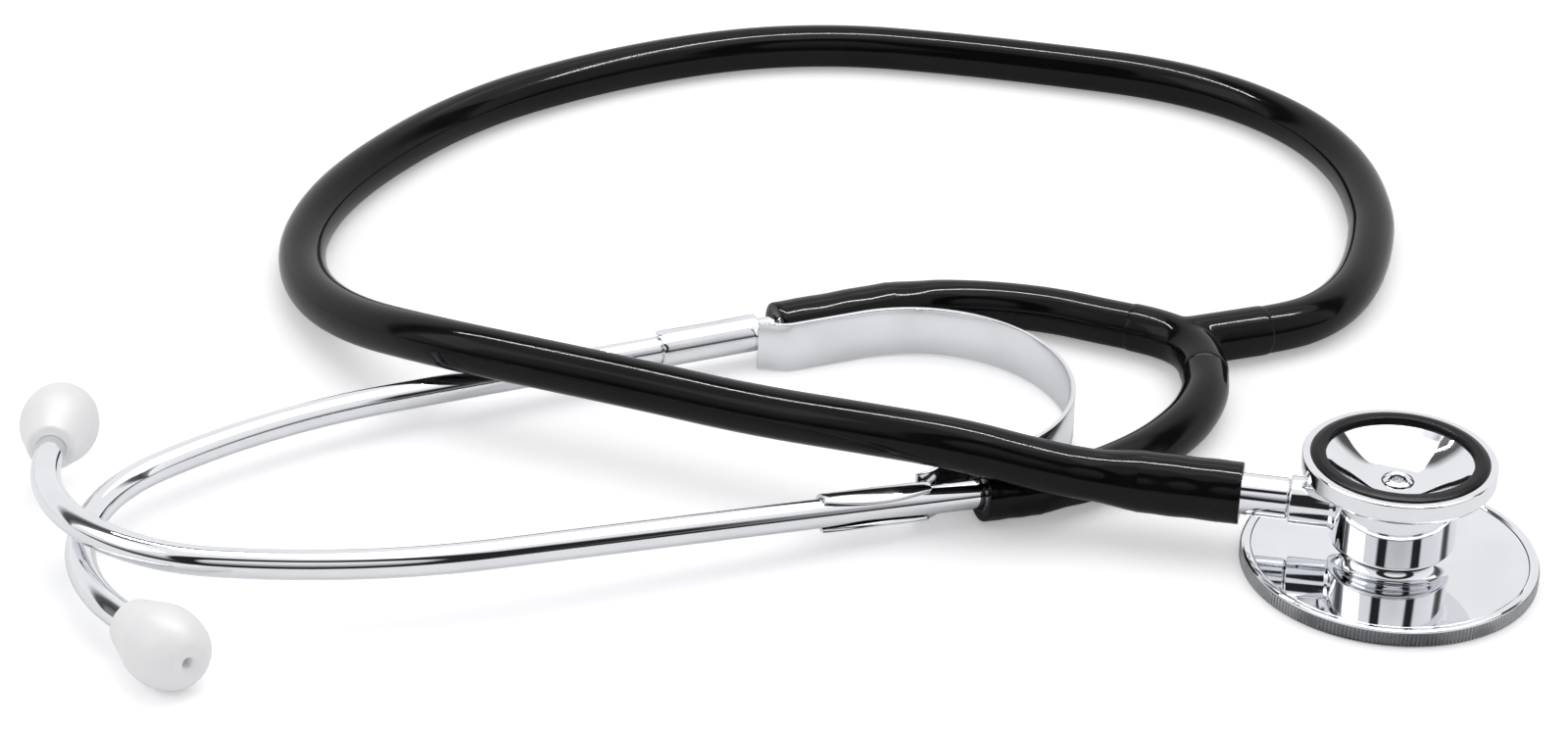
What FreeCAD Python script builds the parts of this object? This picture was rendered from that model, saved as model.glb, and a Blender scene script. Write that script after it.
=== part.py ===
import FreeCAD, Part
import math
import os

import Sketcher
from FreeCAD import Placement, Rotation, Vector

# A dual-head acoustic stethoscope that lies on a table, in millimetres.
# Origin: the centre of the diaphragm's outer face, which lies on the table. +Z is up.
# The chestpiece stands over the origin, its stem points to -X, and the ear tubes lie beyond it.

DIMENSIONS = {
    # chestpiece, turned about its own upright axis
    "ring_radius": 24.0,
    "ring_height": 3.2,
    "ring_window": 20.8,
    "ring_lip": 0.7,
    "plate_radius": 22.3,
    "plate_under": 1.1,
    "plate_top": 2.9,
    "chamber_radius": 20.2,
    "chamber_top": 2.1,
    "neck_radius": 7.6,
    "flare_radius": 10.2,
    "flare_height": 3.1,
    "neck_height": 4.2,
    "hub_radius": 10.1,
    "hub_bottom": 5.9,
    "hub_top": 14.6,
    "bell_radius": 15.5,
    "bell_wall_bottom": 17.3,
    "bell_top": 20.7,
    "seat_outer": 14.2,
    "seat_inner": 12.0,
    "seat_bottom": 19.9,
    "bell_ring_top": 21.2,
    "bell_ring_inner": 11.7,
    "bowl_edge_height": 19.6,
    "bowl_mid_radius": 7.0,
    "bowl_mid_height": 17.2,
    "bowl_floor_radius": 2.6,
    "bowl_floor": 16.3,
    # diaphragm
    "film_radius": 22.2,
    "film_thickness": 0.35,
    # stem, valve and what turns on it
    "stem_height": 10.6,
    "stem_yaw": -10.5,
    "stem_radius": 3.4,
    "stem_shoulder": 16.8,
    "stem_end": 39.0,
    "barb_radius": 3.7,
    "core_radius": 2.8,
    "core_end": 6.8,
    "valve_bore": 2.85,
    "valve_end": 7.3,
    "sound_bore": 1.5,
    "port_radius": 1.2,
    "bushing_radius": 3.9,
    "bushing_seat": 9.0,
    "bushing_spigot": 3.6,
    "bushing_end": 5.6,
    "spot_face": 5.2,
    "seal_station": 3.6,
    "seal_radius": 2.4,
    "seal_section": 0.42,
    "detent_station": 4.9,
    "detent_ball_radius": 1.0,
    "detent_hole": 1.05,
    "detent_floor": -1.8,
    "detent_rise": 2.1,
    "detent_groove": 3.2,
    "detent_wire": 0.16,
    "detent_coil": 0.72,
    # tubing
    "hose_radius": 4.25,
    "branch_radius": 4.1,
    "hose_grip_radius": 5.05,
    "hose_mouth": 24.4,
    "hose_grip_end": 40.0,
    "branch_grip_radius": 4.7,
    "junction_height": 4.6,
    "junction_arm": 10.0,
    # ear tubes and their spring
    "ear_radius": 2.4,
    "ear_bore": 1.7,
    "ear_inner_length": 9.5,
    "ear_straight": 81.8,
    "ear_sweep_radius": 116.0,
    "ear_sweep": 21.8,
    "ear_bend_radius": 31.3,
    "ear_bend": 87.8,
    "ear_end_length": 10.5,
    "spring_radius": 26.0,
    "spring_offset": 28.1,
    "near_leg": 5.6,
    "near_flat": 9.9,
    "near_neck": 11.9,
    "far_leg": 13.9,
    "far_flat": 16.4,
    "far_neck": 17.4,
    "spring_thickness": 0.8,
    "spring_width": 9.0,
    "spring_bottom": 0.4,
    "sleeve_length": 18.5,
    "sleeve_wall": 0.8,
    "sleeve_wrap": 250.0,
    # ear tips
    "tip_length": 15.5,
    "tip_base_radius": 4.1,
    "tip_widest": 9.2,
    "tip_radius": 6.2,
    "tip_socket": 7.0,
    "tip_hole": 1.3,
}

doc = FreeCAD.newDocument("stethoscope")
sheet = doc.addObject("Spreadsheet::Sheet", "Sizes")
for row, (alias, value) in enumerate(DIMENSIONS.items(), start=1):
    sheet.set("A%d" % row, alias)
    sheet.set("B%d" % row, str(value))
    sheet.setAlias("B%d" % row, alias)
doc.recompute()

NODES = []


def size(alias):
    """A driving dimension, read from the sheet."""
    return float(sheet.get(alias))


def bind(target, prop, formula):
    """Drive a property by a formula whose names are aliases of the sheet."""
    words = formula.replace("(", " ( ").replace(")", " ) ").split()
    target.setExpression(prop, " ".join("Sizes." + w if w in DIMENSIONS else w for w in words))


def register(item, label, placement=None):
    """Name a finished sub-part and put it where it belongs in the object."""
    item.Label = label
    if placement is not None:
        item.Placement = placement
    NODES.append(item)
    return item


def origin_plane(body, role):
    return next(feature for feature in body.Origin.OriginFeatures if feature.Role == role)


def sketch_in(body, name, role, offset=None):
    sketch = body.newObject("Sketcher::SketchObject", name)
    sketch.AttachmentSupport = [(origin_plane(body, role), "")]
    sketch.MapMode = "FlatFace"
    if offset is not None:
        sketch.AttachmentOffset = offset
    return sketch


def locate(sketch, geometry, vertex, across, up):
    """Hold a sketch vertex at two formulas; a formula of 0 keeps it on the axis."""
    for kind, axis, formula in (("DistanceX", -2, across), ("DistanceY", -1, up)):
        if formula == "0":
            sketch.addConstraint(Sketcher.Constraint("PointOnObject", geometry, vertex, axis))
            continue
        number = sketch.addConstraint(Sketcher.Constraint(kind, -1, 1, geometry, vertex, 1.0))
        bind(sketch, "Constraints[%d]" % number, formula)


def value_of(formula):
    """The number that a simple formula of the sheet's aliases stands for."""
    total, sign = 0.0, 1.0
    words = formula.split()
    for word in words:
        if word in "+-":
            sign = 1.0 if word == "+" else -1.0
        else:
            total += sign * (size(word) if word in DIMENSIONS else float(word))
    return total


def outline(sketch, corners):
    """A closed outline of straight edges, each corner at a pair of formulas."""
    spots = [Vector(value_of(across), value_of(up), 0) for across, up in corners]
    last = len(spots) - 1
    for k, spot in enumerate(spots):
        sketch.addGeometry(Part.LineSegment(spot, spots[0 if k == last else k + 1]), False)
    for k in range(len(spots)):
        after = 0 if k == last else k + 1
        sketch.addConstraint(Sketcher.Constraint("Coincident", k, 2, after, 1))
    for k, (across, up) in enumerate(corners):
        locate(sketch, k, 1, across, up)


def turned(name, corners):
    """A body turned about its own Z axis from an outline of (radius, height) formulas."""
    body = doc.addObject("PartDesign::Body", name)
    sketch = sketch_in(body, name + "_outline", "XZ_Plane")
    outline(sketch, corners)
    turn = body.newObject("PartDesign::Revolution", name + "_turn")
    turn.Profile = sketch
    turn.ReferenceAxis = (sketch, ["V_Axis"])
    turn.Angle = 360.0
    sketch.Visibility = False
    doc.recompute()
    return body


def bored(body, name, role, offset, radius, depth, both=False):
    """Bore a round hole into a body from a plane, along the plane's own normal or both ways."""
    before = body.Shape.Volume
    sketch = sketch_in(body, name + "_circle", role, offset)
    sketch.addGeometry(Part.Circle(Vector(0, 0, 0), Vector(0, 0, 1), value_of(radius)), False)
    sketch.addConstraint(Sketcher.Constraint("Coincident", 0, 3, -1, 1))
    number = sketch.addConstraint(Sketcher.Constraint("Radius", 0, value_of(radius)))
    bind(sketch, "Constraints[%d]" % number, radius)
    pocket = body.newObject("PartDesign::Pocket", name)
    pocket.Profile = sketch
    pocket.Midplane = both
    pocket.Reversed = not both
    bind(pocket, "Length", depth)
    doc.recompute()
    if body.Shape.Volume >= before:
        raise ValueError(name + " removes nothing")
    return pocket


# ---------------------------------------------------------------- frames of the sub-assemblies

HEAD = Placement(Vector(0, 0, 0), Rotation(Vector(0, 0, 1), size("stem_yaw")))
# the stem's own frame: local Z runs from the valve out along the stem
STEM = HEAD * Placement(Vector(0, 0, size("stem_height")), Rotation(Vector(0, 1, 0), -90))


def ear_frame(x, y, z, yaw, rise, roll):
    """Frame of one ear tube at its hose's mouth: local X runs along the tube to its tip."""
    turn = Rotation(Vector(0, 0, 1), yaw) * Rotation(Vector(0, 1, 0), -rise)
    return Placement(Vector(x, y, z), turn * Rotation(Vector(1, 0, 0), roll))


# the near tube rises over the far one where they cross; the far tip rests on the table
NEAR_EAR = ear_frame(-65.7, 11.0, 5.4, -158.94, 3.09, 2.08)
FAR_EAR = ear_frame(-89.1, 70.1, 5.4, -155.5, 0.6, -0.5)
BINAURAL = Placement(Vector(-75.0, 41.11, 0), Rotation(Vector(0, 0, 1), 22.87))
EARS = {
    "near": {"frame": NEAR_EAR, "bend": -1, "mouth": 0.0, "sleeve": 9.2},
    "far": {"frame": FAR_EAR, "bend": 1, "mouth": 11.7, "sleeve": 15.4},
}


# ---------------------------------------------------------------- chestpiece

def chest_body():
    """Diaphragm plate, neck, hub and bell cup in one casting, bored for the valve and the sound."""
    body = turned("ChestBody", [
        ("0", "chamber_top"),
        ("chamber_radius", "plate_under + 0.3"),
        ("chamber_radius", "plate_under"),
        ("plate_radius", "plate_under"),
        ("plate_radius", "plate_top"),
        ("flare_radius", "flare_height"),
        ("neck_radius", "neck_height"),
        ("neck_radius", "hub_bottom"),
        ("hub_radius", "hub_bottom"),
        ("hub_radius", "hub_top"),
        ("bell_radius - 1.2", "bell_wall_bottom - 0.6"),
        ("bell_radius", "bell_wall_bottom"),
        ("bell_radius", "bell_top"),
        ("seat_outer", "bell_top"),
        ("seat_outer", "seat_bottom"),
        ("seat_inner", "seat_bottom"),
        ("seat_inner", "bowl_edge_height"),
        ("bowl_mid_radius", "bowl_mid_height"),
        ("bowl_floor_radius", "bowl_floor"),
        ("0", "bowl_floor"),
    ])
    height = size("stem_height")
    at_axis = Placement(Vector(0, height, 0), Rotation())
    bored(body, "ValveBore", "YZ_Plane", at_axis, "valve_bore", "valve_end")
    left = Placement(Vector(0, height, 0), Rotation(Vector(0, 1, 0), 180))
    bored(body, "ValveMouth", "YZ_Plane", left, "valve_bore", "hub_radius + 1")
    seat = Placement(Vector(0, height, -size("bushing_end")), Rotation(Vector(0, 1, 0), 180))
    bored(body, "BushingSeat", "YZ_Plane", seat, "bushing_spigot", "hub_radius")
    face = Placement(Vector(0, height, -size("bushing_seat")), Rotation(Vector(0, 1, 0), 180))
    bored(body, "SpotFace", "YZ_Plane", face, "spot_face", "hub_radius")
    groove = Placement(Vector(0, height, size("detent_station")), Rotation())
    bored(body, "DetentGroove", "YZ_Plane", groove, "detent_groove", "detent_hole + detent_hole", True)
    up = Placement(Vector(0, 0, height), Rotation())
    bored(body, "BellPassage", "XY_Plane", up, "port_radius + 0.6", "bowl_floor - stem_height")
    down = Placement(Vector(0, 0, height), Rotation(Vector(1, 0, 0), 180))
    bored(body, "DiaphragmPassage", "XY_Plane", down, "port_radius", "stem_height")
    return register(body, "chest_body", HEAD)


def bell_ring():
    """Soft non-chill ring seated in the groove of the bell's rim."""
    body = turned("BellRing", [
        ("bell_ring_inner", "bowl_edge_height + 0.5"),
        ("seat_inner", "seat_bottom"),
        ("seat_outer", "seat_bottom"),
        ("seat_outer", "bell_ring_top - 0.5"),
        ("seat_outer - 0.5", "bell_ring_top"),
        ("bell_ring_inner + 0.5", "bell_ring_top"),
        ("bell_ring_inner", "bell_ring_top - 0.5"),
    ])
    return register(body, "bell_ring", HEAD)


def bell_port():
    """Flanged insert that carries the sound from the bell's floor down to the valve."""
    body = turned("BellPort", [
        ("port_radius - 0.4", "bowl_floor - 1.6"),
        ("port_radius + 0.6", "bowl_floor - 1.6"),
        ("port_radius + 0.6", "bowl_floor"),
        ("port_radius + 1.1", "bowl_floor"),
        ("port_radius + 1.1", "bowl_floor + 0.3"),
        ("port_radius + 0.6", "bowl_floor + 0.6"),
        ("port_radius - 0.4", "bowl_floor + 0.6"),
    ])
    return register(body, "bell_port", HEAD)


def diaphragm():
    """Thin stepped disc whose middle lies flush with the ring and whose edge is clamped."""
    body = turned("Diaphragm", [
        ("0", "0"),
        ("ring_window - 0.1", "0"),
        ("ring_window - 0.1", "ring_lip"),
        ("film_radius", "ring_lip"),
        ("film_radius", "ring_lip + film_thickness"),
        ("ring_window - 0.5", "ring_lip + film_thickness"),
        ("ring_window - 0.5", "film_thickness"),
        ("0", "film_thickness"),
    ])
    return register(body, "diaphragm", HEAD)


def diaphragm_ring():
    """Retaining ring that screws on the plate and clamps the diaphragm's edge."""
    body = turned("DiaphragmRing", [
        ("ring_window", "0"),
        ("ring_radius - 0.4", "0"),
        ("ring_radius", "0.4"),
        ("ring_radius", "ring_height - 0.4"),
        ("ring_radius - 0.3", "ring_height"),
        ("plate_radius", "ring_height"),
        ("plate_radius", "ring_lip"),
        ("ring_window", "ring_lip"),
    ])
    return register(body, "diaphragm_ring", HEAD)


def stem():
    """Hose stem with barbs; its core is the valve, bored along and ported downwards at the hub."""
    barbs = []
    for station in ("stem_end - 9", "stem_end - 5", "stem_end - 1"):
        barbs = [("stem_radius", station), ("barb_radius", station + " - 0.2"),
                 ("stem_radius", station + " - 2")] + barbs
    body = turned("Stem", [
        ("0", "0 - core_end"),
        ("core_radius - 0.3", "0 - core_end"),
        ("core_radius", "0.3 - core_end"),
        ("core_radius", "seal_station - 0.55"),
        ("seal_radius - 0.44", "seal_station - 0.55"),
        ("seal_radius - 0.44", "seal_station + 0.55"),
        ("core_radius", "seal_station + 0.55"),
        ("core_radius", "stem_shoulder"),
        ("stem_radius", "stem_shoulder"),
    ] + sorted(barbs, key=lambda corner: value_of(corner[1])) + [
        ("stem_radius", "stem_end - 0.3"),
        ("stem_radius - 0.3", "stem_end"),
        ("0", "stem_end"),
    ])
    inner_end = Placement(Vector(0, 0, -size("sound_bore")), Rotation())
    bored(body, "SoundBore", "XY_Plane", inner_end, "sound_bore", "stem_end + 3")
    down = Placement(Vector(0, 0, 0), Rotation(Vector(0, 1, 0), 180))
    bored(body, "ValvePort", "YZ_Plane", down, "port_radius", "core_radius + 1")
    well = Placement(Vector(0, -size("detent_station"), size("detent_floor")), Rotation())
    bored(body, "DetentWell", "YZ_Plane", well, "detent_hole", "core_radius + core_radius")
    return register(body, "stem", STEM)


def stem_bushing():
    """Collar pressed into the hub, in which the stem's core turns."""
    body = turned("StemBushing", [
        ("valve_bore", "bushing_end"),
        ("bushing_spigot", "bushing_end"),
        ("bushing_spigot", "bushing_seat"),
        ("bushing_radius", "bushing_seat"),
        ("bushing_radius", "stem_shoulder - 0.4"),
        ("bushing_radius - 0.3", "stem_shoulder - 0.1"),
        ("valve_bore", "stem_shoulder - 0.1"),
    ])
    return register(body, "stem_bushing", STEM)


def stem_seal():
    """O-ring in the core's groove, which keeps the sound in."""
    seal = doc.addObject("Part::Torus", "StemSeal")
    bind(seal, "Radius1", "seal_radius")
    bind(seal, "Radius2", "seal_section")
    along = Placement(Vector(0, 0, size("seal_station")), Rotation())
    return register(seal, "stem_seal", STEM * along)


def detent():
    """Ball and coil spring in the core's end, which click the head into place."""
    here = HEAD * Placement(Vector(size("detent_station"), 0, size("stem_height")), Rotation())
    ball = doc.addObject("Part::Sphere", "DetentBall")
    bind(ball, "Radius", "detent_ball_radius")
    rise = Placement(Vector(0, 0, size("detent_rise")), Rotation())
    register(ball, "detent_ball", here * rise)
    wire = size("detent_wire")
    foot = size("detent_floor") + wire
    top = size("detent_rise") - size("detent_ball_radius") * 0.72 - wire
    turns = 4
    coil = doc.addObject("Part::Helix", "DetentCoil")
    coil.Pitch = (top - foot) / turns
    coil.Height = top - foot
    bind(coil, "Radius", "detent_coil")
    section = doc.addObject("Part::Circle", "DetentWireSection")
    bind(section, "Radius", "detent_wire")
    section.Placement = Placement(Vector(size("detent_coil"), 0, 0), Rotation(Vector(1, 0, 0), 90))
    spring = doc.addObject("Part::Sweep", "DetentSpring")
    spring.Sections = [section]
    spring.Spine = (coil, [])
    spring.Solid = True
    spring.Frenet = True
    register(spring, "detent_spring", here * Placement(Vector(0, 0, foot), Rotation()))


# ---------------------------------------------------------------- tubing

def rounded_path(points):
    """Straight runs joined by tangent arcs, each as large as its two runs allow."""
    edges = []
    start = points[0]
    radii = []
    for before, corner, after in zip(points, points[1:], points[2:]):
        come = corner - before
        leave = after - corner
        half = come.getAngle(leave) / 2
        reach = 0.45 * min(come.Length, leave.Length)
        radius = reach / math.tan(half)
        come.normalize()
        leave.normalize()
        first = corner - come * reach
        last = corner + leave * reach
        inward = leave - come
        inward.normalize()
        middle = corner + inward * (radius / math.cos(half) - radius)
        edges.append(Part.LineSegment(start, first).toShape())
        edges.append(Part.Arc(first, middle, last).toShape())
        start = last
        radii.append(radius)
    edges.append(Part.LineSegment(start, points[-1]).toShape())
    return Part.Wire(edges), radii


def hose(label, points, radius_alias):
    """A hose of one diameter along a route, checked against its section times its length."""
    path, radii = rounded_path(points)
    radius = size(radius_alias)
    heading = points[1] - points[0]
    section = Part.Wire(Part.Circle(points[0], heading, radius).toShape())
    solid = path.makePipeShell([section], True, True)
    expected = math.pi * radius ** 2 * path.Length
    print("%s: length %.1f, radii %s" % (label, path.Length, [round(r) for r in radii]))
    if abs(solid.Volume / expected - 1) > 0.01:
        raise ValueError(label + " does not fill its route")
    item = doc.addObject("Part::Feature", label + "_solid")
    item.Shape = solid
    register(item, label)
    return item


def hose_grip(name, label, inner, outer, start, end, frame):
    """The stretched end of a hose over the stem or an ear tube."""
    body = turned(name, [(inner, start), (outer, start), (outer, end), (inner, end)])
    return register(body, label, frame)


JUNCTION = Vector(-25.3, 66.8, size("junction_height"))
ARM_HEADINGS = {"hose": 31.0, "near": -90.0, "far": 160.0}


def arm_direction(name):
    angle = math.radians(ARM_HEADINGS[name])
    return Vector(math.cos(angle), math.sin(angle), 0)


def arm_end(name, further=0.0):
    """A point on one arm of the junction, its end face's centre unless further out."""
    return JUNCTION + arm_direction(name) * (size("junction_arm") + further)


def junction():
    """Moulded Y: three round arms that meet in a ball."""
    ball = doc.addObject("Part::Sphere", "JunctionBall")
    bind(ball, "Radius", "hose_radius + 0.2")
    ball.Placement = Placement(JUNCTION, Rotation())
    parts = [ball]
    for name, radius in (("hose", "hose_radius"), ("near", "branch_radius"), ("far", "branch_radius")):
        arm = doc.addObject("Part::Cylinder", "JunctionArm_" + name)
        bind(arm, "Radius", radius)
        bind(arm, "Height", "junction_arm")
        arm.Placement = Placement(JUNCTION, Rotation(Vector(0, 0, 1), arm_direction(name)))
        parts.append(arm)
    fuse = doc.addObject("Part::MultiFuse", "Junction")
    fuse.Shapes = parts
    return register(fuse, "y_junction")


def on_stem(distance, beyond=0.0):
    """A point on the stem's axis, counted out from the chestpiece's axis."""
    return STEM.multVec(Vector(0, 0, distance + beyond))


def on_ear(side, distance):
    """A point on an ear tube's straight part, counted from the frame towards the tip."""
    return EARS[side]["frame"].multVec(Vector(distance, 0, 0))


def tubing():
    """One moulded hose set: the long hose, the Y and two branches, with their stretched ends."""
    hose_grip("HoseGrip", "main_hose_grip", "stem_radius", "hose_grip_radius",
              "hose_mouth", "hose_grip_end", STEM)
    grip_end = size("hose_grip_end")
    hose("main_hose", [
        on_stem(grip_end), on_stem(grip_end, 9.0),
        Vector(-57.5, 8.3, 12.9), Vector(-69.5, 8.6, 16.0), Vector(-85, 13.4, 15.8),
        Vector(-103, 21.1, 14.2), Vector(-121, 28.5, 14.1), Vector(-139, 35.0, 14.2),
        Vector(-157, 42.0, 14.0), Vector(-174.5, 60.5, 7.9), Vector(-184.5, 79.5, 4.7),
        Vector(-187, 100, 4.3), Vector(-180.5, 124, 4.3), Vector(-162, 153.5, 4.3),
        Vector(-137.5, 173, 4.3), Vector(-111, 186, 4.3), Vector(-88, 189.6, 4.3),
        Vector(-66, 186.6, 4.3), Vector(-44, 182, 4.3), Vector(-24, 177, 4.3),
        Vector(-8, 167.5, 4.3), Vector(3.5, 154, 4.3), Vector(10, 137, 4.3),
        Vector(11.4, 118, 4.3), Vector(7, 100, 4.3), Vector(-1, 85.5, 4.4),
        arm_end("hose", 10.0), arm_end("hose"),
    ], "hose_radius")
    junction()
    inner = size("ear_inner_length")
    hose("near_branch", [
        on_ear("near", -inner), on_ear("near", -inner - 5.9),
        Vector(-44.9, 20.6, 4.3), Vector(-36.4, 28.3, 4.2), Vector(-29.8, 37.2, 4.4),
        Vector(-26.6, 44.6, 4.6), arm_end("near", 6.3), arm_end("near"),
    ], "branch_radius")
    hose("far_branch", [
        on_ear("far", -inner), on_ear("far", -inner - 7.0),
        Vector(-66.5, 78.6, 4.6), Vector(-58, 78.3, 4.4), Vector(-49.5, 76.3, 4.5),
        arm_end("far", 7.5), arm_end("far"),
    ], "branch_radius")
    for side, ear in EARS.items():
        towards_tip = Placement(Vector(0, 0, 0), Rotation(Vector(0, 1, 0), 90))
        hose_grip(side.title() + "Grip", side + "_branch_grip", "ear_radius", "branch_grip_radius",
                  "0 - ear_inner_length", "%s + 0" % ear["mouth"], ear["frame"] * towards_tip)


# ---------------------------------------------------------------- ear tubes and spring

def ear_tube(side):
    """Bent metal tube: straight, then a wide sweep and a tighter bend to the tip."""
    ear = EARS[side]
    body = doc.addObject("PartDesign::Body", side.title() + "EarTube")
    path = sketch_in(body, side + "_path", "XY_Plane")
    bend = ear["bend"]
    straight = size("ear_straight")
    start = Vector(-size("ear_inner_length"), 0, 0)
    joint = Vector(straight, 0, 0)
    path.addGeometry(Part.LineSegment(start, joint), False)
    heading = 0.0
    for stage, (radius, angle) in enumerate((("ear_sweep_radius", "ear_sweep"),
                                             ("ear_bend_radius", "ear_bend"))):
        r = size(radius)
        centre = joint + Vector(-math.sin(heading), math.cos(heading), 0) * (bend * r)
        side_angle = heading - bend * math.pi / 2
        turn = bend * math.radians(size(angle))
        low, high = sorted((side_angle, side_angle + turn))
        path.addGeometry(Part.ArcOfCircle(Part.Circle(centre, Vector(0, 0, 1), r), low, high), False)
        heading += turn
        joint = centre + Vector(math.sin(heading), -math.cos(heading), 0) * (bend * r)
        leaving, arriving = (2, 1) if bend > 0 else (1, 2)
        before = 2 if stage == 0 else leaving
        path.addConstraint(Sketcher.Constraint("Tangent", stage, before, stage + 1, arriving))
        number = path.addConstraint(Sketcher.Constraint("Radius", stage + 1, r))
        bind(path, "Constraints[%d]" % number, radius)
        number = path.addConstraint(Sketcher.Constraint("Angle", stage + 1, abs(turn)))
        bind(path, "Constraints[%d]" % number, angle + " * 1deg")
    end = joint + Vector(math.cos(heading), math.sin(heading), 0) * size("ear_end_length")
    path.addGeometry(Part.LineSegment(joint, end), False)
    path.addConstraint(Sketcher.Constraint("Tangent", 2, leaving, 3, 1))
    number = path.addConstraint(Sketcher.Constraint("Distance", 3, size("ear_end_length")))
    bind(path, "Constraints[%d]" % number, "ear_end_length")
    locate(path, 0, 1, "0 - ear_inner_length", "0")
    locate(path, 0, 2, "ear_straight", "0")
    inner_end = Placement(Vector(0, 0, -size("ear_inner_length")), Rotation())
    section = sketch_in(body, side + "_section", "YZ_Plane", inner_end)
    for k, radius in enumerate(("ear_radius", "ear_bore")):
        section.addGeometry(Part.Circle(Vector(0, 0, 0), Vector(0, 0, 1), size(radius)), False)
        section.addConstraint(Sketcher.Constraint("Coincident", k, 3, -1, 1))
        number = section.addConstraint(Sketcher.Constraint("Radius", k, size(radius)))
        bind(section, "Constraints[%d]" % number, radius)
    doc.recompute()
    pipe = body.newObject("PartDesign::AdditivePipe", side + "_pipe")
    pipe.Profile = section
    pipe.Spine = (path, ["Edge1", "Edge2", "Edge3", "Edge4"])
    doc.recompute()
    ear["end"] = end
    ear["heading"] = heading
    return register(body, side + "_ear_tube", ear["frame"])


def ear_tip(side):
    """Rounded ear tip on the tube's end, with its sound hole in the nose."""
    body = turned(side.title() + "EarTip", [
        ("ear_radius + 0.05", "0"),
        ("tip_base_radius - 0.6", "0"),
        ("tip_base_radius", "0.5"),
        ("tip_radius - 0.9", "tip_widest - 4.6"),
        ("tip_radius", "tip_widest - 1"),
        ("tip_radius", "tip_widest + 0.8"),
        ("tip_radius - 0.8", "tip_length - 3.2"),
        ("tip_radius - 2.4", "tip_length - 1"),
        ("tip_hole + 1.2", "tip_length"),
        ("tip_hole", "tip_length - 0.6"),
        ("tip_hole", "tip_socket"),
        ("ear_radius + 0.05", "tip_socket"),
    ])
    ear = EARS[side]
    along = Vector(math.cos(ear["heading"]), math.sin(ear["heading"]), 0)
    base = ear["end"] - along * (size("tip_socket") - 0.1)
    here = Placement(base, Rotation(Vector(0, 0, 1), along))
    return register(body, side + "_ear_tip", ear["frame"] * here)


def spring_sleeve(side):
    """End of the spring strip, rolled round its ear tube and open on the outer side."""
    ear = EARS[side]
    rolled = doc.addObject("Part::Cylinder", side.title() + "Rolled")
    bind(rolled, "Radius", "ear_radius + sleeve_wall")
    bind(rolled, "Height", "sleeve_length")
    bind(rolled, "Angle", "sleeve_wrap")
    bore = doc.addObject("Part::Cylinder", side.title() + "RolledBore")
    bind(bore, "Radius", "ear_radius")
    bind(bore, "Height", "sleeve_length")
    sleeve = doc.addObject("Part::Cut", side.title() + "Sleeve")
    sleeve.Base = rolled
    sleeve.Tool = bore
    # local Z runs along the tube, and the wrap is centred on the side that faces the spring
    lie = Rotation(Vector(0, 1, 0), 90)
    inward = 90.0 if ear["bend"] > 0 else -90.0
    spin = Rotation(Vector(0, 0, 1), inward - size("sleeve_wrap") / 2)
    here = Placement(Vector(ear["sleeve"], 0, 0), lie * spin)
    return register(sleeve, side + "_spring_sleeve", ear["frame"] * here)


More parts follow.
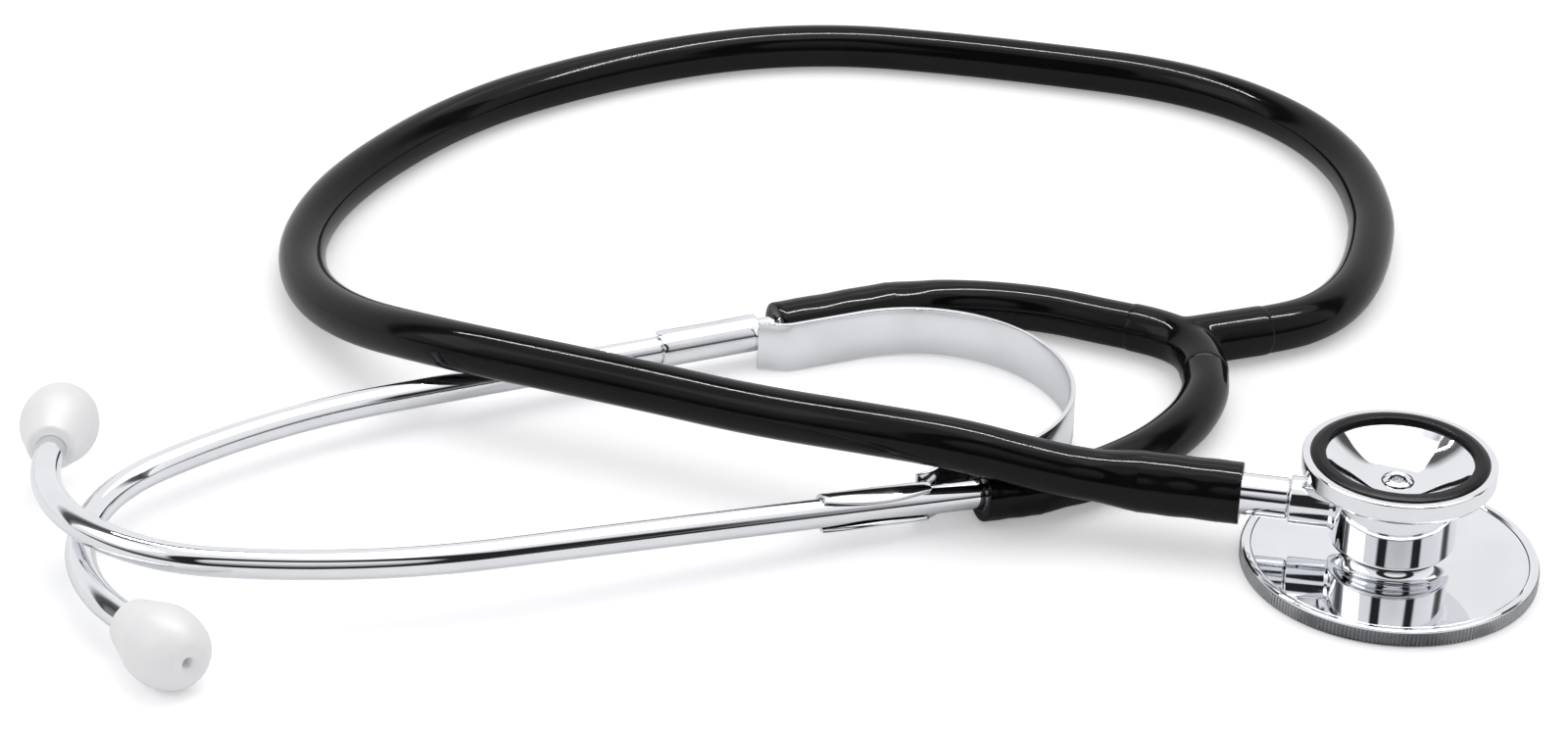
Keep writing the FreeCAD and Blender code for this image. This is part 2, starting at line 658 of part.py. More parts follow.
def leaf_spring():
    """Bowed spring strip that stands on edge and presses the ear tubes together."""
    body = doc.addObject("PartDesign::Body", "LeafSpring")
    middle = size("spring_bottom") + size("spring_width") / 2
    path = sketch_in(body, "SpringPath", "XY_Plane", Placement(Vector(0, 0, middle), Rotation()))
    radius = size("spring_radius")
    near = [("0 - near_neck", "spring_offset"), ("0 - near_flat", "spring_offset"),
            ("0 - near_leg", "spring_radius"), ("0", "spring_radius")]
    far = [("0 - far_neck", "spring_offset"), ("0 - far_flat", "spring_offset"),
           ("0 - far_leg", "spring_radius"), ("0", "spring_radius")]
    spots = [Vector(value_of(across), -size(up), 0) for across, up in near]
    for first, second in zip(spots, spots[1:]):
        path.addGeometry(Part.LineSegment(first, second), False)
    half = Part.Circle(Vector(0, 0, 0), Vector(0, 0, 1), radius)
    path.addGeometry(Part.ArcOfCircle(half, -math.pi / 2, math.pi / 2), False)
    spots = [Vector(value_of(across), size(up), 0) for across, up in reversed(far)]
    for first, second in zip(spots, spots[1:]):
        path.addGeometry(Part.LineSegment(first, second), False)
    path.addConstraint(Sketcher.Constraint("Coincident", 3, 3, -1, 1))
    number = path.addConstraint(Sketcher.Constraint("Radius", 3, radius))
    bind(path, "Constraints[%d]" % number, "spring_radius")
    for k in range(6):
        path.addConstraint(Sketcher.Constraint("Coincident", k, 2, k + 1, 1))
    for k in range(3):
        locate(path, k, 1, near[k][0], "0 - " + near[k][1])
        locate(path, 6 - k, 2, far[k][0], far[k][1])
    for vertex in (1, 2):
        path.addConstraint(Sketcher.Constraint("PointOnObject", 3, vertex, -2))
    start = Placement(Vector(-size("spring_offset"), middle, -size("near_neck")), Rotation())
    section = sketch_in(body, "SpringSection", "YZ_Plane", start)
    half_t = "spring_thickness / 2"
    half_w = "spring_width / 2"
    t = size("spring_thickness") / 2
    w = size("spring_width") / 2
    box = [Vector(-t, -w, 0), Vector(t, -w, 0), Vector(t, w, 0), Vector(-t, w, 0)]
    for k in range(4):
        section.addGeometry(Part.LineSegment(box[k], box[(k + 1) % 4]), False)
    for k in range(4):
        section.addConstraint(Sketcher.Constraint("Coincident", k, 2, (k + 1) % 4, 1))
    for k, kind in enumerate(("Horizontal", "Vertical", "Horizontal", "Vertical")):
        section.addConstraint(Sketcher.Constraint(kind, k))
    for kind, vertex, formula in (("DistanceX", 1, half_t), ("DistanceY", 2, half_w)):
        number = section.addConstraint(Sketcher.Constraint(kind, -1, 1, vertex, 2, 1.0))
        bind(section, "Constraints[%d]" % number, formula)
    section.addConstraint(Sketcher.Constraint("Symmetric", 0, 1, 2, 1, -1, 1))
    doc.recompute()
    strip = body.newObject("PartDesign::AdditivePipe", "SpringStrip")
    strip.Profile = section
    strip.Spine = (path, ["Edge%d" % (k + 1) for k in range(7)])
    strip.Transition = "Right corner"
    doc.recompute()
    return register(body, "leaf_spring", BINAURAL)


# ---------------------------------------------------------------- the whole object

chest_body()
bell_ring()
bell_port()
diaphragm()
diaphragm_ring()
stem()
stem_bushing()
stem_seal()
detent()
tubing()
leaf_spring()
for ear_side in EARS:
    ear_tube(ear_side)
    ear_tip(ear_side)
    spring_sleeve(ear_side)

doc.recompute()
for item in doc.Objects:
    if "Invalid" in item.State or "Error" in item.State:
        raise ValueError("%s did not compute: %s" % (item.Label, item.State))
for item in NODES:
    if item.Shape.isNull() or not item.Shape.isValid():
        raise ValueError(item.Label + " has no valid shape")

os.makedirs("parts", exist_ok=True)
for item in NODES:
    item.Shape.exportStep(os.path.join("parts", item.Label + ".step"))
    box = item.Shape.BoundBox
    print("%-20s solids %d volume %9.2f  z %.2f to %.2f" % (
        item.Label, len(item.Shape.Solids), item.Shape.Volume, box.ZMin, box.ZMax))
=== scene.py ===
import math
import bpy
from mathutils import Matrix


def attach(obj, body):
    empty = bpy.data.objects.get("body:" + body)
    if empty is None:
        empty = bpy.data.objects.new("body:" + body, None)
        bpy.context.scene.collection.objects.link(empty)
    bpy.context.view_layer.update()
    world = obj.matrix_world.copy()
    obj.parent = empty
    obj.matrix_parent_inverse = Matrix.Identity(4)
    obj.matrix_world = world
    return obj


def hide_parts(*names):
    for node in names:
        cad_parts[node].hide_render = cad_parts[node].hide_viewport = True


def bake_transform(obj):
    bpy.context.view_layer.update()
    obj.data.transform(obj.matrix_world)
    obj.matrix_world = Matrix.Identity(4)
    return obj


bl_info = {
    "name": "Dual-head stethoscope",
    "version": (1, 0, 0),
    "blender": (4, 5, 0),
    "location": "View3D > Sidebar > Stethoscope",
    "description": "Builds a dual-head stethoscope laid on a pale table, piece by piece",
    "category": "Object",
}

from collections import namedtuple

import bpy
from bpy.props import FloatProperty, FloatVectorProperty, PointerProperty
from mathutils import Matrix, Vector

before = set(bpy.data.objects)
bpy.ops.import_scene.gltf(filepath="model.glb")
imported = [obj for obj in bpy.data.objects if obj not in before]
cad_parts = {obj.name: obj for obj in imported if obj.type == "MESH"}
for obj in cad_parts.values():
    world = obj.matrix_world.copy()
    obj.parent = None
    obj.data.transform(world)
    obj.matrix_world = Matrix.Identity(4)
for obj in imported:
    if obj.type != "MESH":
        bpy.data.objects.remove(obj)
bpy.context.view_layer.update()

MM = 0.001

# where each sub-assembly stands, in millimetres
STEM_YAW = math.radians(-10.5)
STEM_HEIGHT = 10.6
SPRING_CENTRE = Vector((-75.0, 41.11, 0))
SPRING_YAW = math.radians(22.87)
# an ear tube's place and turn in degrees, the side it bends to, where its hose's mouth and its sleeve
# start along it, and the body that it rides on
EarPlace = namedtuple("EarPlace", "x y z yaw rise roll bend mouth sleeve body")
EAR_PLACES = {
    "near": EarPlace(-65.7, 11.0, 5.4, -158.94, 3.09, 2.08, -1, 0.0, 9.2, "near_ear"),
    "far": EarPlace(-89.1, 70.1, 5.4, -155.5, 0.6, -0.5, 1, 11.7, 15.4, "root"),
}
JUNCTION = Vector((-25.3, 66.8, 4.6))
HOSE_HEADING = 20.0
NEAR_HEADING = -90.0
FAR_HEADING = 160.0

# an ear tube: the part inside its hose, the straight, the bends as radius, degrees and steps, the end
EAR_INNER = 9.5
EAR_STRAIGHT = 81.8
EAR_STEPS = 8
EAR_BENDS = ((116.0, 21.8, 20), (31.3, 87.8, 44))
EAR_END = 10.5
TIP_SOCKET = 6.9

SPRING_BOTTOM = 0.4
SPRING_THICKNESS = 0.8
SLEEVE_LENGTH = 18.5
SLEEVE_RADIUS = 2.83
SLEEVE_WALL = 0.7

# the camera that took the photograph: metres, degrees and millimetres of lens on a 36 mm sensor
CAMERA_PLACE = (-0.098086, -0.527672, 0.327466)
CAMERA_PITCH = 29.037
CAMERA_ROLL = 1.461
CAMERA_LENS = 88.3746
SENSOR = 36.0

# control points of the three hoses, in metres, from the end that leaves the object
LONG_HOSE = [
    (-0.03933, 0.00729, 0.0106), (-0.04818, 0.00893, 0.0106), (-0.0575, 0.0083, 0.0129),
    (-0.0695, 0.0086, 0.0160), (-0.085, 0.0134, 0.0158), (-0.103, 0.0211, 0.0142),
    (-0.121, 0.0285, 0.0141), (-0.139, 0.0350, 0.0142), (-0.157, 0.0420, 0.0140),
    (-0.1745, 0.0605, 0.0079), (-0.1845, 0.0795, 0.0047), (-0.187, 0.100, 0.0043),
    (-0.1805, 0.124, 0.0043), (-0.162, 0.1535, 0.0043), (-0.1375, 0.173, 0.0043),
    (-0.111, 0.186, 0.0043), (-0.088, 0.1896, 0.0043), (-0.066, 0.1866, 0.0043),
    (-0.044, 0.182, 0.0043), (-0.024, 0.177, 0.0043), (-0.008, 0.1675, 0.0043),
    (0.0035, 0.154, 0.0043), (0.010, 0.137, 0.0043), (0.0114, 0.118, 0.0043),
    (0.0094, 0.1048, 0.0043), (0.0063, 0.0932, 0.0043), (0.00225, 0.0841, 0.0044),
    (-0.00286, 0.0773, 0.0045), (-0.00885, 0.07279, 0.0046), (-0.0159, 0.07022, 0.0046),
]
NEAR_BRANCH = [
    (-0.05685, 0.01441, 0.00489), (-0.05135, 0.01653, 0.00457), (-0.0449, 0.0206, 0.0043),
    (-0.0364, 0.0283, 0.0042), (-0.0298, 0.0372, 0.0044), (-0.0266, 0.0446, 0.0046),
    (-0.0253, 0.0505, 0.0046), (-0.0253, 0.0568, 0.0046),
]
FAR_BRANCH = [
    (-0.08046, 0.07404, 0.0053), (-0.07409, 0.07694, 0.00523), (-0.0665, 0.0786, 0.0046),
    (-0.058, 0.0783, 0.0044), (-0.0495, 0.0763, 0.0045), (-0.04174, 0.07279, 0.0046),
    (-0.0347, 0.07022, 0.0046),
]


# ---------------------------------------------------------------- sizes and colours

def length(name, text, value):
    return FloatProperty(name=name, description=text, default=value * MM, unit="LENGTH", precision=5)


def colour(name, text, value):
    return FloatVectorProperty(name=name, description=text, default=value, subtype="COLOR",
                               size=3, min=0, max=1)


class StethoscopeSizes(bpy.types.PropertyGroup):
    hose_radius: length("Hose radius", "Outside radius of the long hose", 4.25)
    branch_radius: length("Branch radius", "Outside radius of the two short branches", 4.1)
    ear_radius: length("Ear tube radius", "Outside radius of the metal ear tubes", 2.4)
    tip_radius: length("Ear tip radius", "Widest radius of an ear tip", 6.2)
    ring_radius: length("Diaphragm radius", "Outside radius of the diaphragm's ring", 24.0)
    bell_radius: length("Bell radius", "Outside radius of the bell's rim", 15.5)
    spring_radius: length("Spring radius", "Radius of the bow of the leaf spring", 26.0)
    spring_width: length("Spring width", "Height of the leaf spring, which stands on edge", 9.0)


class StethoscopeColours(bpy.types.PropertyGroup):
    plating: colour("Plating", "Bright plating on the chestpiece and ear tubes", (0.86, 0.87, 0.89))
    tubing: colour("Tubing", "Glossy moulded tubing", (0.0035, 0.0035, 0.004))
    rim: colour("Bell rim", "Soft ring on the bell", (0.005, 0.005, 0.006))
    tip: colour("Ear tip", "Soft ear tips", (0.91, 0.91, 0.91))
    film: colour("Diaphragm", "Stiff film of the diaphragm", (0.62, 0.64, 0.66))
    floor: colour("Table", "Table top", (0.93, 0.93, 0.935))


def sizes():
    return bpy.context.scene.stethoscope_sizes


def colours():
    return bpy.context.scene.stethoscope_colours


# ---------------------------------------------------------------- modelling helpers

def only(piece=None):
    """Leave edit mode, and select this piece alone."""
    if bpy.context.mode != "OBJECT":
        bpy.ops.object.mode_set(mode="OBJECT")
    bpy.ops.object.select_all(action="DESELECT")
    if piece is not None:
        piece.select_set(True)
        bpy.context.view_layer.objects.active = piece


def edit(piece):
    only(piece)
    bpy.ops.object.mode_set(mode="EDIT")


def apply_modifiers(piece):
    only(piece)
    for name in [m.name for m in piece.modifiers]:
        bpy.ops.object.modifier_apply(modifier=name)


def modifier(piece, kind, **settings):
    made = piece.modifiers.new(kind.title(), kind)
    for key, value in settings.items():
        setattr(made, key, value)
    return made


def place(piece, matrix):
    """Move a finished piece to its place, and put that place in its mesh."""
    only(piece)
    piece.matrix_world = matrix
    bpy.ops.object.transform_apply(location=True, rotation=True, scale=True)


def smooth(piece, angle=30.0):
    only(piece)
    bpy.ops.object.shade_smooth_by_angle(angle=math.radians(angle))


def rounded(corners, steps=6):
    """Points of a profile of (radius, height, rounding) corners, in millimetres."""
    points = []
    for k, corner in enumerate(corners):
        here = Vector(corner[:2])
        rounding = corner[2] if len(corner) > 2 else 0.0
        if rounding <= 0 or k in (0, len(corners) - 1):
            points.append(tuple(here))
            continue
        back = (Vector(corners[k - 1][:2]) - here).normalized()
        ahead = (Vector(corners[k + 1][:2]) - here).normalized()
        half = back.angle(ahead) / 2
        reach = rounding / math.tan(half)
        centre = here + (back + ahead).normalized() * (rounding / math.sin(half))
        first = here + back * reach - centre
        last = here + ahead * reach - centre
        sweep = first.angle_signed(last)
        for step in range(steps + 1):
            turn = Matrix.Rotation(-sweep * step / steps, 2)
            points.append(tuple(centre + turn @ first))
    return points


def softened(corners, rounds=4):
    """A profile with its corners cut again and again, until it flows; its ends stay."""
    points = [Vector(corner) for corner in corners]
    for _ in range(rounds):
        cut = [points[0]]
        for first, second in zip(points, points[1:]):
            cut += [first.lerp(second, 0.25), first.lerp(second, 0.75)]
        points = cut + [points[-1]]
    return [tuple(point) for point in points]


def turned(name, profile, segments=128, closed=True):
    """A turned piece: a ring that is extruded and scaled along a profile in millimetres."""
    only()
    radius, height = profile[0]
    bpy.ops.mesh.primitive_circle_add(vertices=segments, radius=radius * MM, fill_type="NOTHING",
                                      location=(0, 0, 0), enter_editmode=True)
    piece = bpy.context.object
    piece.name = name
    bpy.ops.transform.translate(value=(0, 0, height * MM))
    for next_radius, next_height in profile[1:]:
        rise = (0, 0, (next_height - height) * MM)
        bpy.ops.mesh.extrude_region_move(TRANSFORM_OT_translate={"value": rise})
        scale = next_radius / radius
        bpy.ops.transform.resize(value=(scale, scale, 1), center_override=(0, 0, next_height * MM))
        radius, height = next_radius, next_height
    bpy.ops.mesh.select_all(action="DESELECT")
    bpy.ops.mesh.select_mode(type="EDGE")
    bpy.ops.mesh.select_non_manifold(extend=False, use_wire=False, use_multi_face=False,
                                     use_non_contiguous=False, use_verts=False)
    if closed:
        bpy.ops.mesh.bridge_edge_loops()
    else:
        bpy.ops.mesh.fill_holes(sides=0)
    bpy.ops.mesh.select_mode(type="VERT")
    bpy.ops.mesh.select_all(action="SELECT")
    bpy.ops.mesh.normals_make_consistent(inside=False)
    only(piece)
    return piece


def stem_place(along=0.0):
    """Frame whose Z runs out along the stem, at a distance from the chestpiece's axis."""
    turn = Matrix.Rotation(STEM_YAW, 4, "Z")
    lift = Matrix.Translation((0, 0, STEM_HEIGHT * MM))
    lay = Matrix.Rotation(math.radians(-90), 4, "Y")
    return turn @ lift @ lay @ Matrix.Translation((0, 0, along * MM))


def ear_place(side):
    """Frame whose X runs along an ear tube from its hose's mouth to its tip."""
    ear = EAR_PLACES[side]
    turn = Matrix.Rotation(math.radians(ear.yaw), 4, "Z") @ Matrix.Rotation(math.radians(-ear.rise), 4, "Y")
    move = Matrix.Translation(Vector((ear.x, ear.y, ear.z)) * MM)
    return move @ turn @ Matrix.Rotation(math.radians(ear.roll), 4, "X")


LAY_ALONG_X = Matrix.Rotation(math.radians(90), 4, "Y")


# ---------------------------------------------------------------- shader groups

def new_group(name, inputs, outputs):
    group = bpy.data.node_groups.new(name, "ShaderNodeTree")
    for label, kind, default in inputs:
        socket = group.interface.new_socket(label, in_out="INPUT", socket_type=kind)
        socket.default_value = default
    for label, kind in outputs:
        group.interface.new_socket(label, in_out="OUTPUT", socket_type=kind)
    start = group.nodes.new("NodeGroupInput")
    end = group.nodes.new("NodeGroupOutput")
    return group, start, end


def noise_node(tree, scale, detail, where):
    node = tree.nodes.new("ShaderNodeTexNoise")
    node.inputs["Scale"].default_value = scale
    node.inputs["Detail"].default_value = detail
    tree.links.new(where, node.inputs["Vector"])
    return node


def share_node(tree, source, low, high):
    """How far a value has gone from low to high, from 0 to 1."""
    node = tree.nodes.new("ShaderNodeMapRange")
    node.inputs["From Min"].default_value = low
    node.inputs["From Max"].default_value = high
    tree.links.new(source, node.inputs["Value"])
    return node


def stops_node(tree, source, stops, blue=1.0):
    """A grey ramp of (position, brightness) stops, with its blue turned up or down."""
    node = tree.nodes.new("ShaderNodeValToRGB")
    elements = node.color_ramp.elements
    elements[0].position, elements[1].position = stops[0][0], stops[-1][0]
    for position, _ in stops[1:-1]:
        elements.new(position)
    for element, (_, value) in zip(elements, stops):
        element.color = (value, value, value * blue, 1)
    tree.links.new(source, node.inputs["Fac"])
    return node


def handling_group():
    """Fine smudges and grain, as a colour, a roughness and a height."""
    if "Handling" in bpy.data.node_groups:
        return bpy.data.node_groups["Handling"]
    group, start, end = new_group(
        "Handling",
        [("Base", "NodeSocketColor", (0.8, 0.8, 0.8, 1)),
         ("Smudge", "NodeSocketColor", (0.7, 0.7, 0.7, 1)),
         ("Roughness", "NodeSocketFloat", 0.1),
         ("Variation", "NodeSocketFloat", 0.05)],
        [("Color", "NodeSocketColor"), ("Roughness", "NodeSocketFloat"), ("Height", "NodeSocketFloat")])
    where = group.nodes.new("ShaderNodeTexCoord").outputs["Object"]
    cloud = noise_node(group, 95.0, 4.0, where)
    grain = noise_node(group, 900.0, 2.0, where)
    amount = share_node(group, cloud.outputs["Fac"], 0.42, 0.7)
    mix = group.nodes.new("ShaderNodeMix")
    mix.data_type = "RGBA"
    group.links.new(amount.outputs["Result"], mix.inputs["Factor"])
    group.links.new(start.outputs["Base"], mix.inputs["A"])
    group.links.new(start.outputs["Smudge"], mix.inputs["B"])
    group.links.new(mix.outputs["Result"], end.inputs["Color"])
    times = group.nodes.new("ShaderNodeMath")
    times.operation = "MULTIPLY_ADD"
    group.links.new(amount.outputs["Result"], times.inputs[0])
    group.links.new(start.outputs["Variation"], times.inputs[1])
    group.links.new(start.outputs["Roughness"], times.inputs[2])
    group.links.new(times.outputs["Value"], end.inputs["Roughness"])
    group.links.new(grain.outputs["Fac"], end.inputs["Height"])
    return group


def surface(name, base, smudge, roughness, variation, bump, metallic=0.0, sheen=0.0, specular=0.5):
    """A finish with handling marks, built once and shared by the pieces that have it."""
    if name in bpy.data.materials:
        return bpy.data.materials[name]
    material = bpy.data.materials.new(name)
    material.use_nodes = True
    tree = material.node_tree
    shader = tree.nodes["Principled BSDF"]
    shader.inputs["Metallic"].default_value = metallic
    shader.inputs["Sheen Weight"].default_value = sheen
    shader.inputs["Specular IOR Level"].default_value = specular
    marks = tree.nodes.new("ShaderNodeGroup")
    marks.node_tree = handling_group()
    marks.inputs["Base"].default_value = (*base, 1)
    marks.inputs["Smudge"].default_value = (*smudge, 1)
    marks.inputs["Roughness"].default_value = roughness
    marks.inputs["Variation"].default_value = variation
    tree.links.new(marks.outputs["Color"], shader.inputs["Base Color"])
    tree.links.new(marks.outputs["Roughness"], shader.inputs["Roughness"])
    relief = tree.nodes.new("ShaderNodeBump")
    relief.inputs["Strength"].default_value = bump
    relief.inputs["Distance"].default_value = 0.00005
    tree.links.new(marks.outputs["Height"], relief.inputs["Height"])
    tree.links.new(relief.outputs["Normal"], shader.inputs["Normal"])
    return material


def shade(value, factor):
    return tuple(min(1.0, v * factor) for v in value)


def plating():
    base = tuple(colours().plating)
    return surface("bright plating", base, shade(base, 0.95), 0.035, 0.03, 0.02, metallic=1.0)


def knurl_painted_shade():
    # The plating darkened to 0.62 times its colour: painted shade that stands in for the shade in the
    # serration's grooves.
    base = shade(tuple(colours().plating), 0.62)
    return surface("knurled plating with painted shade", base, shade(base, 0.6), 0.22, 0.15, 0.1, metallic=1.0)


def spring_steel():
    base = shade(tuple(colours().plating), 0.97)
    return surface("plated spring strip", base, shade(base, 0.93), 0.09, 0.05, 0.06, metallic=1.0)


def tubing_finish():
    base = tuple(colours().tubing)
    return surface("glossy tubing", base, shade(base, 1.5), 0.08, 0.05, 0.04, specular=0.16)


def rim_finish():
    base = tuple(colours().rim)
    return surface("soft rim", base, shade(base, 1.5), 0.24, 0.08, 0.06, specular=0.15)


def tip_finish():
    base = tuple(colours().tip)
    return surface("soft ear tip", base, shade(base, 0.975), 0.42, 0.06, 0.1, sheen=0.1)


def film_finish():
    base = tuple(colours().film)
    return surface("stiff film", base, shade(base, 0.95), 0.18, 0.05, 0.05)


def dress(piece, material, body, slot, *nodes):
    piece.data.materials.clear()
    piece.data.materials.append(material)
    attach(piece, body)
    if nodes:
        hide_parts(*nodes)


def refinish(node, material):
    """Give a carried-over part its finish."""
    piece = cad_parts[node]
    piece.data.materials.clear()
    piece.data.materials.append(material)


# ---------------------------------------------------------------- stage

class STETHOSCOPE_OT_stage(bpy.types.Operator):
    """Table top, soft light and camera"""
    bl_idname = "stethoscope.stage"
    bl_label = "Stage"

    def execute(self, context):
        scene = context.scene
        only()
        bpy.ops.mesh.primitive_plane_add(size=8.0, location=(0, 0, 0))
        floor = context.object
        floor.name = "table_top"
        floor.data.materials.append(self.table())
        self.room(scene)
        self.lamp("key_panel", (0.12, 0.28, 1.05), (-0.09, 0.05, 0.0), (1.1, 1.1), 4.5)
        self.lamp("strip", (-0.05, 0.30, 0.95), (-0.09, 0.08, 0.0), (1.3, 0.022), 14.0,
                  lights_surfaces=False)
        self.lamp("left_panel", (-1.0, -0.25, 0.75), (-0.09, 0.05, 0.0), (0.7, 0.7), 1.5)
        self.camera(scene)
        scene.view_settings.view_transform = "Standard"
        return {"FINISHED"}

    def table(self):
        material = bpy.data.materials.new("white table")
        material.use_nodes = True
        tree = material.node_tree
        shader = tree.nodes["Principled BSDF"]
        shader.inputs["Base Color"].default_value = (*colours().floor, 1)
        shader.inputs["Roughness"].default_value = 0.75
        shader.inputs["Specular IOR Level"].default_value = 0.1
        rays = tree.nodes.new("ShaderNodeLightPath")
        seen = tree.nodes.new("ShaderNodeMath")
        seen.operation = "MULTIPLY"
        seen.inputs[1].default_value = 0.30
        tree.links.new(rays.outputs["Is Camera Ray"], seen.inputs[0])
        shader.inputs["Emission Color"].default_value = (1, 1, 1, 1)
        tree.links.new(seen.outputs["Value"], shader.inputs["Emission Strength"])
        return material

    def room(self, scene):
        world = bpy.data.worlds.new("white room")
        scene.world = world
        world.use_nodes = True
        tree = world.node_tree
        back = tree.nodes["Background"]
        where = tree.nodes.new("ShaderNodeTexCoord")
        parts = tree.nodes.new("ShaderNodeSeparateXYZ")
        tree.links.new(where.outputs["Generated"], parts.inputs["Vector"])
        front = tree.nodes.new("ShaderNodeMath")
        front.operation = "MULTIPLY"
        front.inputs[1].default_value = -1.0
        tree.links.new(parts.outputs["Y"], front.inputs[0])
        over = tree.nodes.new("ShaderNodeMath")
        over.operation = "ARCTAN2"
        tree.links.new(parts.outputs["Z"], over.inputs[0])
        tree.links.new(front.outputs["Value"], over.inputs[1])
        turn = share_node(tree, over.outputs["Value"], 0.0, math.pi)
        # brightness of the room from the front horizon, over the top, to the back horizon
        stops = [(0.0, 0.04), (0.07, 0.03), (0.12, 0.35), (0.2, 0.85), (0.52, 1.0), (0.56, 0.25),
                 (0.62, 0.06), (0.68, 0.12), (0.74, 0.92), (1.0, 0.95)]
        bands = stops_node(tree, turn.outputs["Result"], stops, blue=1.02)
        plain = tree.nodes.new("ShaderNodeRGB")
        plain.outputs[0].default_value = (0.62, 0.62, 0.63, 1)
        rays = tree.nodes.new("ShaderNodeLightPath")
        mix = tree.nodes.new("ShaderNodeMix")
        mix.data_type = "RGBA"
        tree.links.new(rays.outputs["Is Glossy Ray"], mix.inputs["Factor"])
        tree.links.new(plain.outputs[0], mix.inputs["A"])
        tree.links.new(self.dimmed(tree, where, bands.outputs["Color"]), mix.inputs["B"])
        tree.links.new(mix.outputs["Result"], back.inputs["Color"])

    def dimmed(self, tree, where, bright):
        """The room with a dark ring in it, which the plating mirrors as dark patches."""
        facing = tree.nodes.new("ShaderNodeVectorMath")
        facing.operation = "DOT_PRODUCT"
        facing.inputs[1].default_value = (0.1, -0.86, 0.5)
        tree.links.new(where.outputs["Generated"], facing.inputs[0])
        ring = [(0.80, 0.0), (0.84, 1.0), (0.93, 1.0), (0.95, 0.0)]
        share = stops_node(tree, facing.outputs["Value"], ring)
        mix = tree.nodes.new("ShaderNodeMix")
        mix.data_type = "RGBA"
        tree.links.new(share.outputs["Color"], mix.inputs["Factor"])
        tree.links.new(bright, mix.inputs["A"])
        mix.inputs["B"].default_value = (0.02, 0.02, 0.022, 1)
        return mix.outputs["Result"]

    def lamp(self, name, where, target, size, power, lights_surfaces=True):
        light = bpy.data.lights.new(name, "AREA")
        light.shape = "RECTANGLE"
        light.size, light.size_y = size
        light.energy = power
        lamp = bpy.data.objects.new(name, light)
        bpy.context.collection.objects.link(lamp)
        lamp.visible_diffuse = lights_surfaces
        aim = (Vector(target) - Vector(where)).to_track_quat("-Z", "Y")
        lamp.matrix_world = Matrix.Translation(where) @ aim.to_matrix().to_4x4()

    def camera(self, scene):
        data = bpy.data.cameras.new("camera")
        data.sensor_width = SENSOR
        data.sensor_fit = "HORIZONTAL"
        data.lens = CAMERA_LENS
        data.clip_start = 0.01
        data.clip_end = 20.0
        camera = bpy.data.objects.new("camera", data)
        bpy.context.collection.objects.link(camera)
        pitch = math.radians(CAMERA_PITCH)
        roll = math.radians(CAMERA_ROLL)
        ahead = Vector((0, math.cos(pitch), -math.sin(pitch)))
        above = Vector((0, math.sin(pitch), math.cos(pitch)))
        right = Vector((1, 0, 0)) * math.cos(roll) + above * math.sin(roll)
        top = right.cross(ahead)
        axes = Matrix((right, top, -ahead)).transposed().to_4x4()
        camera.matrix_world = Matrix.Translation(CAMERA_PLACE) @ axes
        scene.camera = camera


# ---------------------------------------------------------------- tubing

HOSE_SIDES = 36


def hose_line(name, points, radius):
    """The hose as one smooth open spline with these control points."""
    curve = bpy.data.curves.new(name, "CURVE")
    curve.dimensions = "3D"
    spline = curve.splines.new("NURBS")
    spline.points.add(len(points) - 1)
    for spot, point in zip(spline.points, points):
        spot.co = (*point, 1)
    spline.order_u = 3
    spline.use_endpoint_u = True
    spline.resolution_u = 12
    curve.twist_mode = "MINIMUM"
    line = bpy.data.objects.new(name, curve)
    bpy.context.collection.objects.link(line)
    bpy.context.view_layer.update()
    bare = bpy.data.meshes.new_from_object(line)
    path = [tuple(v.co) for v in bare.vertices]
    bpy.data.meshes.remove(bare)
    curve.bevel_depth = radius
    curve.bevel_resolution = HOSE_SIDES // 2 - 2
    return line, path


def hose_mesh(name, points, radius, swelling=lambda along: 1.0):
    """A hose as a mesh, its radius times what swelling gives at a distance along it in millimetres."""
    line, path = hose_line(name, points, radius)
    only(line)
    bpy.ops.object.convert(target="MESH")
    piece = bpy.context.object
    piece.name = name
    vertices = piece.data.vertices
    rings = len(vertices) // HOSE_SIDES
    run = [0.0]
    centres = []
    for k in range(rings):
        ring = vertices[k * HOSE_SIDES:(k + 1) * HOSE_SIDES]
        centres.append(sum((v.co for v in ring), Vector()) / HOSE_SIDES)
    for first, second in zip(centres, centres[1:]):
        run.append(run[-1] + (second - first).length)
    for k in range(rings):
        factor = swelling(run[k] / MM)
        for v in vertices[k * HOSE_SIDES:(k + 1) * HOSE_SIDES]:
            v.co = centres[k] + (v.co - centres[k]) * factor
    edit(piece)
    bpy.ops.mesh.select_all(action="SELECT")
    bpy.ops.mesh.fill_holes(sides=0)
    bpy.ops.mesh.normals_make_consistent(inside=False)
    only(piece)
    smooth(piece, 50)
    return piece, path


def ease(value):
    value = min(1.0, max(0.0, value))
    return value * value * (3 - 2 * value)


def stretched(swell, reach):
    """The swelling of a hose's end, which fades out over its reach in millimetres."""
    return lambda along: 1 + swell * (1 - ease(along / reach))


